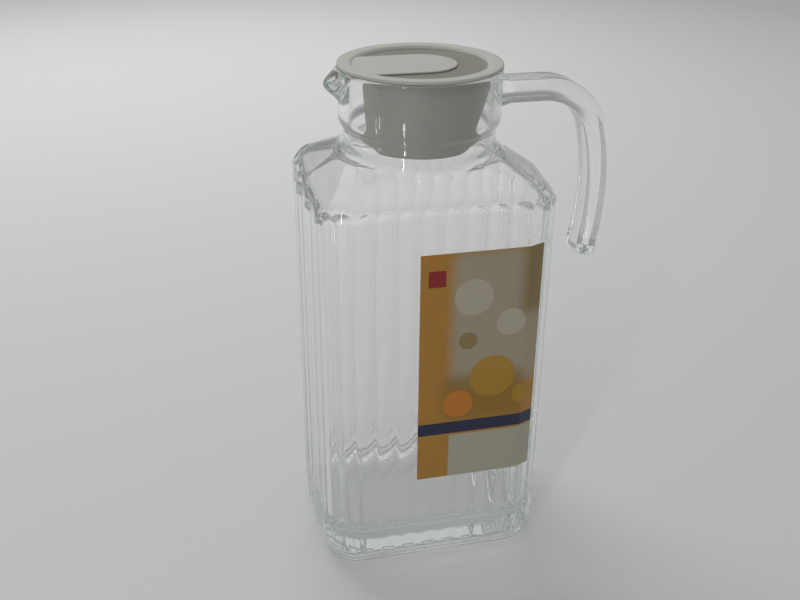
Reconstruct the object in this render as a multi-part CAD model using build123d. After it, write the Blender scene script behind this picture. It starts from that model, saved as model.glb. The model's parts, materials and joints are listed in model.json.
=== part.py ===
from build123d import *
from math import cos, pi, radians, sin, tan
import os

os.makedirs("parts", exist_ok=True)

# A fluted glass fridge jug with a plug lid. Millimetres. Z is up, the table is z = 0 and the jug's
# upright axis is x = y = 0. The pouring lip points to -X, the handle to +X, the labelled wide
# face to -Y.

# Body section: a rounded rectangle through the crests of the flutes
body_length = 120.6      # over the end ridges
body_width = 102.2
corner_radius = 19.4
end_lean = 4.0           # degrees that each half of an end leans back from its ridge, in plan
flute_pitch = 10.34
narrow_flutes = 6        # on each side of the wide face's middle, round into the corner
flute_depth = 1.0
broad_flute_depth = 1.3
crest_width = 0.9

# Heights and slopes of the body
foot_height = 5.5
foot_inset = 3.4
heel_height = 6.0
shoulder_drop = 51.0     # from the rim down to the shoulder's lower edge
wide_slope = 46.0        # degrees below the horizontal
end_slope = 33.0
end_turn = 7.0           # plan angle of each half of an end shoulder
end_setback = 0.8        # how far inside the end ridge the end shoulders start
corner_slope = 22.0      # the corners are parts of one cone
corner_rise = 3.624      # how far outside the corner crests the cone stands at the shoulder
eaves_drop = 5.0
fold_round = 12.0        # between a corner and a wide shoulder

# Glass thickness
wall = 4.0
floor_height = 13.0
floor_radius = 7.0
underside_depth = 1.4
foot_ring_width = 6.0

# Neck and collar
rim_height = 249.0
neck_radius = 36.8
neck_length = 42.0       # from the rim down to the foot of the neck's flare
neck_flare = 4.2
neck_flare_height = 8.5
collar_radius = 38.8
collar_length = 28.5
collar_roll = 4.0
bore_radius = 34.0
rim_round = 1.3

# Pouring lip
lip_reach = 6.9
lip_half_width = 13.0
lip_fall = 4.6
lip_edge = 3.2
lip_depth = 14.0
lip_wall = 2.8
lip_nose_radius = 2.6
channel_depth = 11.0

# Handle: a strap of glass, open at its lower end
handle_width = 19.0
handle_thickness = 11.2
handle_edge_radius = 4.0
handle_tip_round = 4.4
handle_drop = 12.3       # from the rim down to the middle of the bar
handle_straight_end = 61.5
bend_radius = 27.0
bend_turn = 75.0
back_radius = 123.0
tail_radius = 170.0
tail_turn = 12.5
pad_growth = 1.8
pad_length = 4.5

# Lid
lid_radius = 38.8
lid_thickness = 3.0
lid_edge_radius = 1.2
dish_radius = 32.9
dish_floor_radius = 30.4
dish_depth = 3.6
tongue_drop = 0.7
tongue_half_width = 17.4
lid_wall = 1.9
plug_length = 35.0
plug_top_clearance = 1.0
plug_narrowing = 1.9
seal_clearance = 0.3
seal_height = 1.6
seal_from_rim = 23.5
pour_flat = 27.0         # from the axis to the flat on the plug's pouring side

# Label
label_left = -11.3
label_right = 49.3
label_bottom = 52.2
label_from_shoulder = 21.4
label_thickness = 0.25
label_gap = 0.12

right_angle = 90.0       # degrees
half_length = body_length / 2
half_width = body_width / 2
overrun = 2 * body_length
shoulder_height = rim_height - shoulder_drop
neck_root_height = rim_height - neck_length
collar_bottom = rim_height - collar_length
handle_height = rim_height - handle_drop
label_top = shoulder_height - label_from_shoulder

# The plan's outline, a quarter at a time: half a wide side, a round corner, half a leaning end
lean = radians(end_lean)
corner_centre_y = half_width - corner_radius
corner_centre_x = half_length - (corner_radius + corner_centre_y * sin(lean)) / cos(lean)
corner_run = corner_radius * (pi / 2 - lean)
end_run = (corner_centre_y + corner_radius * sin(lean)) / cos(lean)
quarter = corner_centre_x + corner_run + end_run
corner_reach = Vector(corner_centre_x, corner_centre_y).length + corner_radius + corner_rise


def quarter_point(s):
    """Plan point at arc length s from the middle of the wide side, in the +X -Y quarter."""
    if s <= corner_centre_x:
        return s, -half_width
    if s <= corner_centre_x + corner_run:
        a = (s - corner_centre_x) / corner_radius
        return corner_centre_x + corner_radius * sin(a), -corner_centre_y - corner_radius * cos(a)
    left = quarter - s
    return half_length - left * sin(lean), -left * cos(lean)


def rim_point(s):
    """Plan point at arc length s, counted all the way round the body's crests."""
    s = s % (4 * quarter)
    if s <= quarter:
        sx, sy, q = 1, 1, s
    elif s <= 2 * quarter:
        sx, sy, q = 1, -1, 2 * quarter - s
    elif s <= 3 * quarter:
        sx, sy, q = -1, -1, s - 2 * quarter
    else:
        sx, sy, q = -1, 1, 4 * quarter - s
    x, y = quarter_point(q)
    return Vector(sx * x, sy * y)


# Crests: evenly pitched over the wide faces and round the corners, then two broad flutes up to
# the middle of each end
last_narrow = narrow_flutes * flute_pitch
quarter_crests = [k * flute_pitch for k in range(narrow_flutes + 1)]
quarter_crests.append((last_narrow + quarter) / 2)
crests = quarter_crests + [quarter]
crests += [2 * quarter - s for s in reversed(quarter_crests)]
crests += [2 * quarter + s for s in quarter_crests[1:]] + [3 * quarter]
crests += [4 * quarter - s for s in reversed(quarter_crests[1:])]


def fluted_face():
    edges = []
    for s, following in zip(crests, crests[1:] + [crests[0] + 4 * quarter]):
        start = rim_point(s + crest_width / 2)
        end = rim_point(following - crest_width / 2)
        edges.append(Line(rim_point(s - crest_width / 2), start))
        chord = end - start
        inward = Vector(-chord.Y, chord.X).normalized()
        narrow = following - s < (last_narrow + quarter) / 2 - last_narrow
        depth = flute_depth if narrow else broad_flute_depth
        edges.append(ThreePointArc(start, (start + end) / 2 + inward * depth, end))
    return make_face(Curve() + edges)


def smooth_prism(inset, bottom, top):
    """The body's plan without its flutes, drawn in by inset and stood up as a prism."""
    tip, side = half_length - inset / cos(lean), half_width - inset
    corner = tip - side * sin(lean) / cos(lean)
    plan = make_face(Polyline(
        (tip, 0), (corner, side), (-corner, side), (-tip, 0), (-corner, -side), (corner, -side), close=True))
    plan = fillet([v for v in plan.vertices() if abs(v.Y) > side / 2], corner_radius - inset)
    return Pos(0, 0, bottom) * extrude(plan, amount=top - bottom)


# The shoulder's flat facets: plan direction, distance of the lower edge from the axis, slope
half_turn = 2 * right_angle
end_reach = (half_length - end_setback) * cos(radians(end_turn))
shoulder_facets = [(right_angle + side, half_width, wide_slope) for side in (0, half_turn)]
shoulder_facets += [
    (end + turn, end_reach, end_slope) for end in (0, half_turn) for turn in (-end_turn, end_turn)]


eaves = shoulder_height - eaves_drop
roof_height = collar_bottom - eaves


def shoulder_roof(inward):
    """The shoulder's flat facets and cone as one solid, each moved inward by a thickness of glass."""
    cone_slope = radians(corner_slope)
    foot = corner_reach + (eaves_drop - inward / cos(cone_slope)) / tan(cone_slope)
    roof = Pos(0, 0, eaves) * Cone(
        foot, foot - roof_height / tan(cone_slope), roof_height,
        align=(Align.CENTER, Align.CENTER, Align.MIN))
    for direction, reach, slope in shoulder_facets:
        a, t = radians(direction), radians(slope)
        normal = Vector(sin(t) * cos(a), sin(t) * sin(a), cos(t))
        edge = Vector(reach * cos(a), reach * sin(a), shoulder_height) - normal * inward
        block = Box(overrun, overrun, overrun, align=(Align.CENTER, Align.CENTER, Align.MIN))
        roof -= Plane(origin=edge, z_dir=normal) * block
    return roof


base_block = Box(overrun, overrun, eaves, align=(Align.CENTER, Align.CENTER, Align.MIN))
outer_roof = shoulder_roof(0)
folds = outer_roof.edges().filter_by(GeomType.HYPERBOLA)
outer_roof = fillet(folds.filter_by(lambda e: abs(e.center().Y) > abs(e.center().X)), fold_round)

# Outside: the fluted prism inside an envelope with a rolled heel and the faceted shoulder
prism = Pos(0, 0, foot_height) * extrude(fluted_face(), amount=rim_height - foot_height)
envelope = smooth_prism(0, foot_height, rim_height)
envelope = fillet(envelope.faces().sort_by(Axis.Z)[0].edges(), heel_height)
body = prism & envelope & (outer_roof + base_block)
body += smooth_prism(foot_inset, 0, floor_height)

# Neck and collar, turned about the axis
neck_top = collar_bottom - collar_roll / 2
flare_foot = Vector(neck_radius + neck_flare, neck_root_height)
flare_head = Vector(neck_radius, neck_root_height + neck_flare_height)
flare_middle = (flare_foot + flare_head) / 2 - Vector(neck_flare, neck_flare) / 5
roll_head = Vector(collar_radius, collar_bottom + collar_roll)
roll_foot = Vector(neck_radius, neck_top)
roll_middle = (roll_foot + roll_head) / 2 + Vector(collar_roll, -collar_roll) / 6
rim_outer = Vector(collar_radius, rim_height)
neck_outline = Curve() + [
    Line((0, neck_root_height), flare_foot),
    ThreePointArc(flare_foot, flare_middle, flare_head),
    Line(flare_head, roll_foot),
    ThreePointArc(roll_foot, roll_middle, roll_head),
    Line(roll_head, rim_outer),
    Line(rim_outer, (0, rim_height)),
    Line((0, rim_height), (0, neck_root_height)),
]
neck = revolve(Plane.XZ * make_face(neck_outline), axis=Axis.Z)


def upright_face(points):
    """A face in the plane y = 0 from (x, z) corners."""
    return Plane.XZ * make_face(Polyline(*points, close=True))


def lip_wedge(half_base, tip, nose, side_points):
    """A pouring-lip wedge: its plan comes to a rounded nose, its side view is side_points."""
    root = -(bore_radius + collar_radius) / 2
    plan = make_face(Polyline((root, -half_base), (-tip, 0), (root, half_base), close=True))
    plan = fillet(plan.vertices().sort_by(Axis.X)[0], nose)
    block = Pos(0, 0, collar_bottom) * extrude(plan, amount=2 * (rim_height - collar_bottom))
    return block & extrude(upright_face(side_points), amount=collar_radius, both=True)


lip_tip = collar_radius + lip_reach
lip_top = rim_height - lip_fall
lip = lip_wedge(lip_half_width, lip_tip + lip_nose_radius / 2, lip_nose_radius, [
    (0, rim_height), (-collar_radius, rim_height), (-lip_tip, lip_top),
    (-lip_tip - lip_nose_radius, lip_top), (-lip_tip - lip_nose_radius, lip_top - lip_edge),
    (-lip_tip + lip_edge / 2, lip_top - lip_edge), (-collar_radius, rim_height - lip_depth),
    (0, rim_height - lip_depth)])
channel_tip = lip_tip - lip_wall
channel = lip_wedge(lip_half_width - lip_wall, channel_tip + lip_nose_radius / 2, lip_nose_radius / 2, [
    (0, rim_height + lip_edge), (-lip_tip, rim_height + lip_edge), (-lip_tip, lip_top - lip_edge / 3),
    (-channel_tip, lip_top - lip_edge / 2), (-bore_radius, rim_height - channel_depth),
    (0, rim_height - channel_depth)])

# Inside: one smooth cavity, its shoulder parallel to the outside, then the bore of the neck
cavity = smooth_prism(wall, floor_height, rim_height)
cavity = fillet(cavity.faces().sort_by(Axis.Z)[0].edges(), floor_radius)
cavity = cavity & (shoulder_roof(wall) + base_block)
bore = Pos(0, 0, shoulder_height) * Cylinder(
    bore_radius, rim_height - shoulder_height, align=(Align.CENTER, Align.CENTER, Align.MIN))

jug_body = body + neck + lip - cavity - bore - channel
rim_edges = jug_body.edges().filter_by(GeomType.CIRCLE).filter_by_position(Axis.Z, rim_height, rim_height)
jug_body = fillet(rim_edges, rim_round)

# The underside is hollowed inside a bearing ring
jug_body -= smooth_prism(foot_inset + foot_ring_width, 0, underside_depth)

# Handle: the strap follows a straight, then three arcs that run on from one another
start = Vector(bore_radius, 0, handle_height)
straight_end = Vector(handle_straight_end, 0, handle_height)


def arc_point(centre, radius, turn):
    return centre + Vector(sin(radians(turn)), 0, cos(radians(turn))) * radius


bend_centre = straight_end - Vector(0, 0, bend_radius)
bend_end = arc_point(bend_centre, bend_radius, bend_turn)
back_centre = arc_point(bend_centre, bend_radius - back_radius, bend_turn)
back_end = arc_point(back_centre, back_radius, right_angle)
tail_centre = back_end - Vector(tail_radius, 0, 0)
tail_end = arc_point(tail_centre, tail_radius, right_angle + tail_turn)
strap_path = Curve() + [
    Line(start, straight_end),
    ThreePointArc(straight_end, arc_point(bend_centre, bend_radius, bend_turn / 2), bend_end),
    ThreePointArc(bend_end, arc_point(back_centre, back_radius, (bend_turn + right_angle) / 2), back_end),
    ThreePointArc(back_end, arc_point(tail_centre, tail_radius, right_angle + tail_turn / 2), tail_end),
]
strap_plane = Plane(origin=start, x_dir=(0, 1, 0), z_dir=(1, 0, 0))
strap_section = RectangleRounded(handle_width, handle_thickness, handle_edge_radius)
strap = sweep(strap_plane * strap_section, path=strap_path)
tip_face = strap.faces().sort_by_distance(tail_end)[0]
strap = fillet(tip_face.edges(), handle_tip_round)

# Where it is fused on, the strap swells into a pad that fits the collar's curve
pad_width = handle_width + 2 * pad_growth
pad_thickness = handle_thickness + 2 * pad_growth / 2
pad_root = Plane(origin=start, x_dir=(0, 1, 0), z_dir=(1, 0, 0))
pad_head = pad_root.offset(collar_radius + pad_length - bore_radius)
pad = loft([
    pad_root * RectangleRounded(pad_width, pad_thickness, handle_edge_radius + pad_growth / 2),
    pad_root.offset(collar_radius - bore_radius) * RectangleRounded(
        pad_width, pad_thickness, handle_edge_radius + pad_growth / 2),
    pad_head * RectangleRounded(handle_width, handle_thickness, handle_edge_radius)], ruled=True)
collar_core = Pos(0, 0, collar_bottom) * Cylinder(
    collar_radius, rim_height - collar_bottom, align=(Align.CENTER, Align.CENTER, Align.MIN))
handle = strap + pad - collar_core

# Lid: a flat-rimmed disc with a dished top and a raised tongue, and a hollow tapered plug
lid_top = rim_height + lid_thickness
dish_floor = lid_top - dish_depth
plug_bottom = rim_height - plug_length
plug_top_radius = bore_radius - plug_top_clearance
plug_bottom_radius = plug_top_radius - plug_narrowing


def plug_radius_at(z):
    return plug_bottom_radius + plug_narrowing * (z - plug_bottom) / plug_length


lid_outline = Curve() + [
    Polyline(
        (0, dish_floor), (dish_floor_radius, dish_floor), (dish_radius, lid_top),
        (lid_radius, lid_top), (lid_radius, rim_height), (plug_top_radius, rim_height),
        (plug_bottom_radius, plug_bottom), (plug_bottom_radius - lid_wall, plug_bottom),
        (plug_top_radius - lid_wall - plug_narrowing * lid_wall / plug_length, dish_floor - lid_wall),
        (0, dish_floor - lid_wall), close=True)]
lid = revolve(Plane.XZ * make_face(lid_outline), axis=Axis.Z)
disc_edges = lid.edges().filter_by(GeomType.CIRCLE).group_by(SortBy.RADIUS)[-1]
lid = fillet(disc_edges.sort_by(Axis.Z)[-1], lid_edge_radius)
lid = fillet(lid.edges().filter_by(GeomType.CIRCLE).filter_by_position(
    Axis.Z, plug_bottom, plug_bottom), lid_wall / 3)

# A moulded bead seals the plug against the bore
seal_radius = bore_radius - seal_clearance
seal_level = rim_height - seal_from_rim
seal_root = plug_radius_at(seal_level) - lid_wall / 2
bead = Curve() + [
    ThreePointArc((seal_root, seal_level - seal_height), (seal_radius, seal_level),
                  (seal_root, seal_level + seal_height)),
    Line((seal_root, seal_level + seal_height), (seal_root, seal_level - seal_height))]
lid += revolve(Plane.XZ * make_face(bead), axis=Axis.Z)

# The tongue runs from a half-round end about the axis to the rim on the pouring side
tongue_top = lid_top - tongue_drop
tongue_plan = Circle(tongue_half_width) + Pos(-dish_radius / 2, 0) * Rectangle(
    dish_radius, 2 * tongue_half_width)
tongue = Pos(0, 0, dish_floor - lid_wall) * extrude(
    tongue_plan, amount=tongue_top - dish_floor + lid_wall)
dish_cone = Pos(0, 0, dish_floor - lid_wall) * Cylinder(
    (dish_radius + dish_floor_radius) / 2, dish_depth + lid_wall,
    align=(Align.CENTER, Align.CENTER, Align.MIN))
lid += tongue & dish_cone

# On the pouring side the plug is cut flat below the disc, and a flat wall closes it
flat_top = dish_floor - lid_wall
flat_height = flat_top - plug_bottom
flat_cut = Pos(-pour_flat, 0, plug_bottom) * Box(
    bore_radius, 2 * bore_radius, flat_height + lid_thickness / 3,
    align=(Align.MAX, Align.CENTER, Align.MIN))
plug_cone = Pos(0, 0, plug_bottom) * Cone(
    plug_bottom_radius, plug_radius_at(flat_top), flat_height,
    align=(Align.CENTER, Align.CENTER, Align.MIN))
flat_wall = Pos(-pour_flat, 0, plug_bottom) * Box(
    lid_wall, 2 * bore_radius, flat_height, align=(Align.MIN, Align.CENTER, Align.MIN))
lid = lid - flat_cut + (flat_wall & plug_cone)

# Label: a thin film that lies on the crests and turns with the last one
def crest_chord_point(s):
    """Plan point on the straight line from crest to crest that the film follows."""
    k = int(s // flute_pitch)
    low, high = rim_point(k * flute_pitch), rim_point((k + 1) * flute_pitch)
    share = s / flute_pitch - k
    return low + (high - low) * share


label_stations = [label_left] + [s for s in quarter_crests if s < label_right] + [label_right]
crest_line = [crest_chord_point(s) for s in label_stations]
film_directions = [(b - a).normalized() for a, b in zip(crest_line, crest_line[1:])]
film_normals = [Vector(d.Y, -d.X) for d in [film_directions[0]] + film_directions]
inner_line = [p + n * label_gap for p, n in zip(crest_line, film_normals)]
outer_line = [p + n * label_thickness for p, n in zip(inner_line, film_normals)]
film_face = make_face(Polyline(*inner_line, *reversed(outer_line), close=True))
front_label = Pos(0, 0, label_bottom) * extrude(film_face, amount=label_top - label_bottom)

pieces = {"jug_body": jug_body, "handle": handle, "lid": lid, "front_label": front_label}
for name, piece in pieces.items():
    piece.label = name
    export_step(piece, f"parts/{name}.step")
    box = piece.bounding_box()
    print(name, "volume", round(piece.volume), "x", round(box.min.X, 1), round(box.max.X, 1),
          "y", round(box.min.Y, 1), round(box.max.Y, 1), "z", round(box.min.Z, 1), round(box.max.Z, 1))
print("cavity to the neck, litres", round((cavity.volume + bore.volume) / 1e6, 2))
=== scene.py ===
import json
from math import atan, atan2, cos, pi, radians, sin, sqrt, tan

import bmesh
import bpy
from mathutils import Matrix, Vector

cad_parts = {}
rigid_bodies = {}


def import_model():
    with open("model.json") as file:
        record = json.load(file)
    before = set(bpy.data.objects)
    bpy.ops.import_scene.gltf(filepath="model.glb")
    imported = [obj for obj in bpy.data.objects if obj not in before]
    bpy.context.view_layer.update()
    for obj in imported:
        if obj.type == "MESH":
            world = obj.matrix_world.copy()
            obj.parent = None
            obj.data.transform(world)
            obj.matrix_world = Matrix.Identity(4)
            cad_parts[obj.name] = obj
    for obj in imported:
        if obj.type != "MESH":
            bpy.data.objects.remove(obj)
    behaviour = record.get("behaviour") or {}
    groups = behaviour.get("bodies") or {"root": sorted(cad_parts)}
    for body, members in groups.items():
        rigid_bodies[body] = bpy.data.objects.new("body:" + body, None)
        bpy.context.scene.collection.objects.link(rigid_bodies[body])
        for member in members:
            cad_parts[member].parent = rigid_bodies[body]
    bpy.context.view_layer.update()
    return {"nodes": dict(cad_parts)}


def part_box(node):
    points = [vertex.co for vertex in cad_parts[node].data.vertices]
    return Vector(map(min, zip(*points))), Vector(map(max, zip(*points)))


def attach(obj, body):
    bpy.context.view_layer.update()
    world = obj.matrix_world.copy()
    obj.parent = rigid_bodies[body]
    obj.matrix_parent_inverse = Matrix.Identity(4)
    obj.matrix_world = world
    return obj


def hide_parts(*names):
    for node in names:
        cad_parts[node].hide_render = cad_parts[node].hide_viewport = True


bl_info = {
    "name": "Fluted Glass Jug with Plug Lid",
    "version": (1, 0, 0),
    "blender": (4, 5, 0),
    "location": "3D View > Sidebar > Jug",
    "description": "Dresses a packed fluted glass jug: glass, polyethylene lid, printed label and studio",
    "category": "Object",
}

MM = 0.001
MATH, VECTOR_MATH = "ShaderNodeMath", "ShaderNodeVectorMath"

for spare in list(bpy.data.objects):
    bpy.data.objects.remove(spare)
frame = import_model()
label_low, label_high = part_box("front_label")
lid_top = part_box("lid")[1].z


def linear(code):
    """An sRGB hex colour as linear red, green, blue and alpha."""
    parts = [int(code[i:i + 2], 16) / 255 for i in (1, 3, 5)]
    return [c / 12.92 if c <= 0.04045 else ((c + 0.055) / 1.055) ** 2.4 for c in parts] + [1.0]


def add_node(tree, kind, inputs=(), **settings):
    """Adds a node with its settings. Its inputs go by name in a dict or in a row from the first.
    Each is a value to set, a socket to link, or a node whose first output in use is linked."""
    node = tree.nodes.new(kind)
    for name, value in settings.items():
        setattr(node, name, value)
    for key, value in inputs.items() if isinstance(inputs, dict) else enumerate(inputs):
        if isinstance(value, bpy.types.Node):
            value = next(output for output in value.outputs if output.enabled)
        if isinstance(value, bpy.types.NodeSocket):
            tree.links.new(value, node.inputs[key])
        else:
            node.inputs[key].default_value = value
    return node


def new_material(name):
    """An empty node material and its tree."""
    material = bpy.data.materials.new(name)
    material.use_nodes = True
    material.node_tree.nodes.clear()
    return material, material.node_tree


def dress(node_name, material):
    """Gives a CAD node's slots the finished material."""
    for slot in frame["nodes"][node_name].material_slots:
        slot.material = material


def length(name, description, millimetres):
    return bpy.props.FloatProperty(
        name=name, description=description, default=millimetres * MM, unit="LENGTH",
        subtype="DISTANCE", precision=5)


def angle(name, description, degrees):
    return bpy.props.FloatProperty(
        name=name, description=description, default=radians(degrees), unit="ROTATION", subtype="ANGLE")


def colour(name, description, code):
    return bpy.props.FloatVectorProperty(
        name=name, description=description, default=linear(code), size=4, subtype="COLOR", min=0, max=1)


def number(name, description, default):
    return bpy.props.FloatProperty(name=name, description=description, default=default, min=0)


class BodySizes(bpy.types.PropertyGroup):
    body_length: length("Body length", "Over the ridges of the ends", 120.6)
    body_width: length("Body width", "Over the crests of the wide faces", 102.2)
    corner_radius: length("Corner radius", "Plan radius through the crests of a corner", 19.4)
    end_lean: angle("End lean", "How far each half of an end leans back, in plan", 4.0)
    flute_pitch: length("Flute pitch", "From crest to crest, but for the broad flutes", 10.34)
    flute_depth: length("Flute depth", "Depth of a narrow flute", 1.0)
    broad_flute_depth: length("Broad flute depth", "Depth of the flutes beside each end ridge", 1.3)
    crest_width: length("Crest width", "Width of the crest between two flutes", 0.9)
    run_out: length("Run-out", "Softness of a flute's ends", 0.35)
    foot_height: length("Foot height", "From the table to the heel", 5.5)
    foot_inset: length("Foot inset", "How far the foot stands inside the crests", 3.4)
    foot_ring: length("Foot ring", "Width of the standing ring", 6.0)
    foot_hollow: length("Foot hollow", "Height of the underside in that ring", 1.4)
    heel: length("Heel", "Radius of the rolled heel", 6.0)
    shoulder_height: length("Shoulder height", "Lower edge of the shoulder's facets", 198.0)
    shoulder_round: length("Shoulder rounding", "Radius of the edge under the shoulder", 5.0)
    face_slope: angle("Face slope", "Steepness of the facets over the wide faces", 46.0)
    end_slope: angle("End slope", "Steepness of the two facets over an end", 33.0)
    end_turn: angle("End turn", "How far those turn from their ridge, in plan", 7.0)
    corner_slope: angle("Corner slope", "Steepness of the cone over the corners", 22.0)
    corner_reach: length("Corner reach", "From the axis to the foot of that cone", 73.0)
    wall: length("Wall", "Thickness of the glass in the walls", 4.0)
    wall_to_shoulder: length("Wall to shoulder", "Radius inside, under the shoulder", 9.0)
    wall_to_floor: length("Wall to floor", "Radius inside, over the floor", 22.0)
    floor_height: length("Floor height", "Top of the thick floor", 7.5)
    rim_height: length("Rim height", "Top of the glass", 250.15)
    neck_radius: length("Neck radius", "Outside of the neck's waist", 36.5)
    neck_foot: length("Neck foot", "From the rim down to the shoulder's curve", 33.0)
    collar_radius: length("Collar radius", "Outside of the collar", 38.8)
    collar_height: length("Collar height", "From the rim down to the collar's rolled edge", 22.0)
    collar_roll: length("Collar roll", "Height of the collar's rolled edge", 5.5)
    bore_radius: length("Bore radius", "Inside of the neck", 34.0)
    lip_height: length("Lip height", "From the rim down to the lip's root", 16.0)
    lip_reach: length("Lip reach", "How far the lip stands out of the collar", 6.9)
    lip_fall: length("Lip fall", "How far the lip's tip lies below the rim", 5.6)
    lip_spread: angle("Lip spread", "Half angle of the lip, in plan", 21.0)
    channel_cut: length("Channel cut", "From the bore to the brink of the lip's channel", 8.6)
    channel_depth: length("Channel depth", "Depth of the lip's channel", 9.5)


class GlassSizes(bpy.types.PropertyGroup):
    tint: colour("Tint", "Colour of the surface, and of light that goes straight on", "#FFFFFF")
    depth_tint: colour("Depth tint", "Colour that thick glass takes", "#BCD6CA")
    absorption: number("Absorption", "Density of the depth tint, per metre", 4.0)
    ior: number("IOR", "Refractive index of soda-lime glass", 1.52)
    shadow: colour("Shadow", "What the lamps' light keeps through a slanting wall", "#AEB8B4")
    ripple: length("Ripple", "Width of the waves that pressing leaves", 14)
    ripple_height: length("Ripple height", "Height of those waves", 0.01)


class LidSizes(bpy.types.PropertyGroup):
    radius: length("Radius", "Outside of the disc", 38.8)
    thickness: length("Thickness", "Disc at its rim", 1.8)
    edge: length("Edge", "Radius of the disc's edge", 0.8)
    dish_radius: length("Dish radius", "Upper edge of the dished top", 33.0)
    dish_depth: length("Dish depth", "Dish below the rim", 1.9)
    dish_slope: length("Dish slope", "Width of the slope round the dish", 2.6)
    tongue_width: length("Tongue width", "Tongue that points at the lip", 34.8)
    tongue_height: length("Tongue height", "Tongue above the dish", 1.0)
    tongue_edge: length("Tongue edge", "Radius of the tongue's upper edge", 0.55)
    plug_radius: length("Plug radius", "Plug under the disc", 33.2)
    plug_end_radius: length("Plug end radius", "Plug at its lower end", 24.2)
    plug_length: length("Plug length", "From the disc down", 39.4)
    plug_straight: length("Plug straight", "Height of the plug before it tapers", 7.0)
    plug_round: length("Plug round", "Radius of the plug's lower edge", 2.0)
    bead_drop: length("Bead drop", "From the disc down to the sealing bead", 1.6)
    bead_width: length("Bead width", "Height of the sealing bead along the plug", 1.2)
    bead_height: length("Bead height", "How far its guide stands out of the plug", 0.5)
    pour_flat: length("Pour flat", "From the axis to the flat for pouring", 23.0)
    pour_head: length("Pour head", "From the disc down to where the flat is full", 5.5)
    pour_flare: number("Pour flare", "How fast the flat runs out above that", 2.2)
    turned: angle("Turned", "Turn of the loose lid in the collar", 6.0)
    wall: length("Wall", "Thickness of the moulding", 1.9)
    # one polyethylene in three tones: rim is the lit top, dish is painted shade of the recess, plug is
    # painted shade under the disc
    rim: colour("Rim", "Polyethylene where it is thick", "#BDBEB7")
    dish: colour("Dish", "Thin polyethylene over the hollow plug", "#85847B")
    plug: colour("Plug", "Polyethylene of the plug's skirt", "#A5A49A")
    grain: length("Grain", "Size of the mould's spark grain", 0.35)
    cloud: length("Cloud", "Size of the more and less glossy areas", 18)


class LabelSizes(bpy.types.PropertyGroup):
    start: length("Left edge", "Along the crests, from the middle of the face", -11.3)
    end: length("Right edge", "Along the crests, from the middle of the face", 49.3)
    gap: length("Gap", "Glue under the film", 0.12)
    thickness: length("Thickness", "Film thickness", 0.25)
    bend: length("Bend", "Radius of the film over a crest", 2.5)
    ground: colour("Ground", "Ochre ground of the print", "#AC7F33")
    olive: colour("Olive", "Olive gold of the upper corner", "#85713A")
    pale: colour("Pale", "Grey lilac of the middle panel", "#A29C88")
    panel: colour("Panel", "Pale foot panel", "#ACA998")
    amber: colour("Amber", "Amber rounds", "#C77A22")
    honey: colour("Honey", "Honey yellow rounds", "#AC8420")
    mist: colour("Mist", "Pale rounds", "#BFB9AA")
    umber: colour("Umber", "Brown gold lower middle", "#8A6A22")
    navy: colour("Navy", "Navy band", "#262A48")
    crimson: colour("Crimson", "Small crimson patch", "#8E2220")
    back: colour("Back", "Unprinted side of the film", "#D5D3CB")


class StageSizes(bpy.types.PropertyGroup):
    paper: colour("Paper", "Floor and backdrop paper", "#D0D0D0")
    air: colour("Air", "Colour of the room's light", "#F6F5F5")
    key_power: number("Key", "Key softbox, watts", 19.0)
    sky: number("Sky", "Strength of the room's light", 0.43)
    room: number("Room", "Brightness of the room as seen, also through glass", 0.68)


BOUNCES = 24           # light runs a long way along the fluted walls


def soda_lime_glass(sizes):
    """Pressed soda-lime glass, fire polished: clear and sharp, with slow ripples that bend what is
    seen through it, and green only where light runs a long way inside. Lamp light and soft light go
    straight through, so what is inside or behind is lit, and only slanting walls take some of the
    lamps' light, as a clear jug's faint shadow shows. A ray that has met nearly as many walls as
    the bounces allow goes straight on as well, so that none ends black."""
    material, tree = new_material("fire_polished_soda_lime_glass")
    place = add_node(tree, "ShaderNodeTexCoord").outputs["Object"]
    waves = add_node(tree, "ShaderNodeTexNoise", {
        "Vector": place, "Scale": 1 / sizes.ripple, "Detail": 1.0, "Roughness": 0.4})
    bump = add_node(tree, "ShaderNodeBump", {
        "Height": waves, "Strength": 1.0, "Distance": sizes.ripple_height})
    shader = add_node(tree, "ShaderNodeBsdfPrincipled", {
        "Normal": bump, "Base Color": sizes.tint, "Roughness": 0.0, "IOR": sizes.ior,
        "Transmission Weight": 1.0})
    path = add_node(tree, "ShaderNodeLightPath").outputs
    lamp_light = path["Is Shadow Ray"]
    worn = add_node(tree, MATH, (path["Ray Depth"], BOUNCES - 3.5), operation="GREATER_THAN")
    lit = add_node(tree, MATH, (lamp_light, path["Is Diffuse Ray"]), operation="MAXIMUM")
    straight = add_node(tree, MATH, (worn, lit), operation="MAXIMUM")
    slant = add_node(tree, "ShaderNodeLayerWeight", {"Blend": 0.5})
    taken = add_node(tree, MATH, (lamp_light, slant.outputs["Facing"]), operation="MULTIPLY")
    veil = add_node(tree, "ShaderNodeMix", {
        "Factor": taken, "A": sizes.tint, "B": sizes.shadow}, data_type="RGBA")
    clear = add_node(tree, "ShaderNodeBsdfTransparent", {"Color": veil})
    surface = add_node(tree, "ShaderNodeMixShader", (straight, shader, clear))
    depth = add_node(tree, "ShaderNodeVolumeAbsorption", (sizes.depth_tint, sizes.absorption))
    add_node(tree, "ShaderNodeOutputMaterial", (surface, depth))
    return material


def ink(tree, under, mask, code, strength=1.0):
    """Lays a colour over the one so far, where the mask lets it."""
    lay = add_node(tree, MATH, (mask, strength), operation="MULTIPLY")
    return add_node(tree, "ShaderNodeMix", {"Factor": lay, "A": under, "B": code}, data_type="RGBA")


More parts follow.
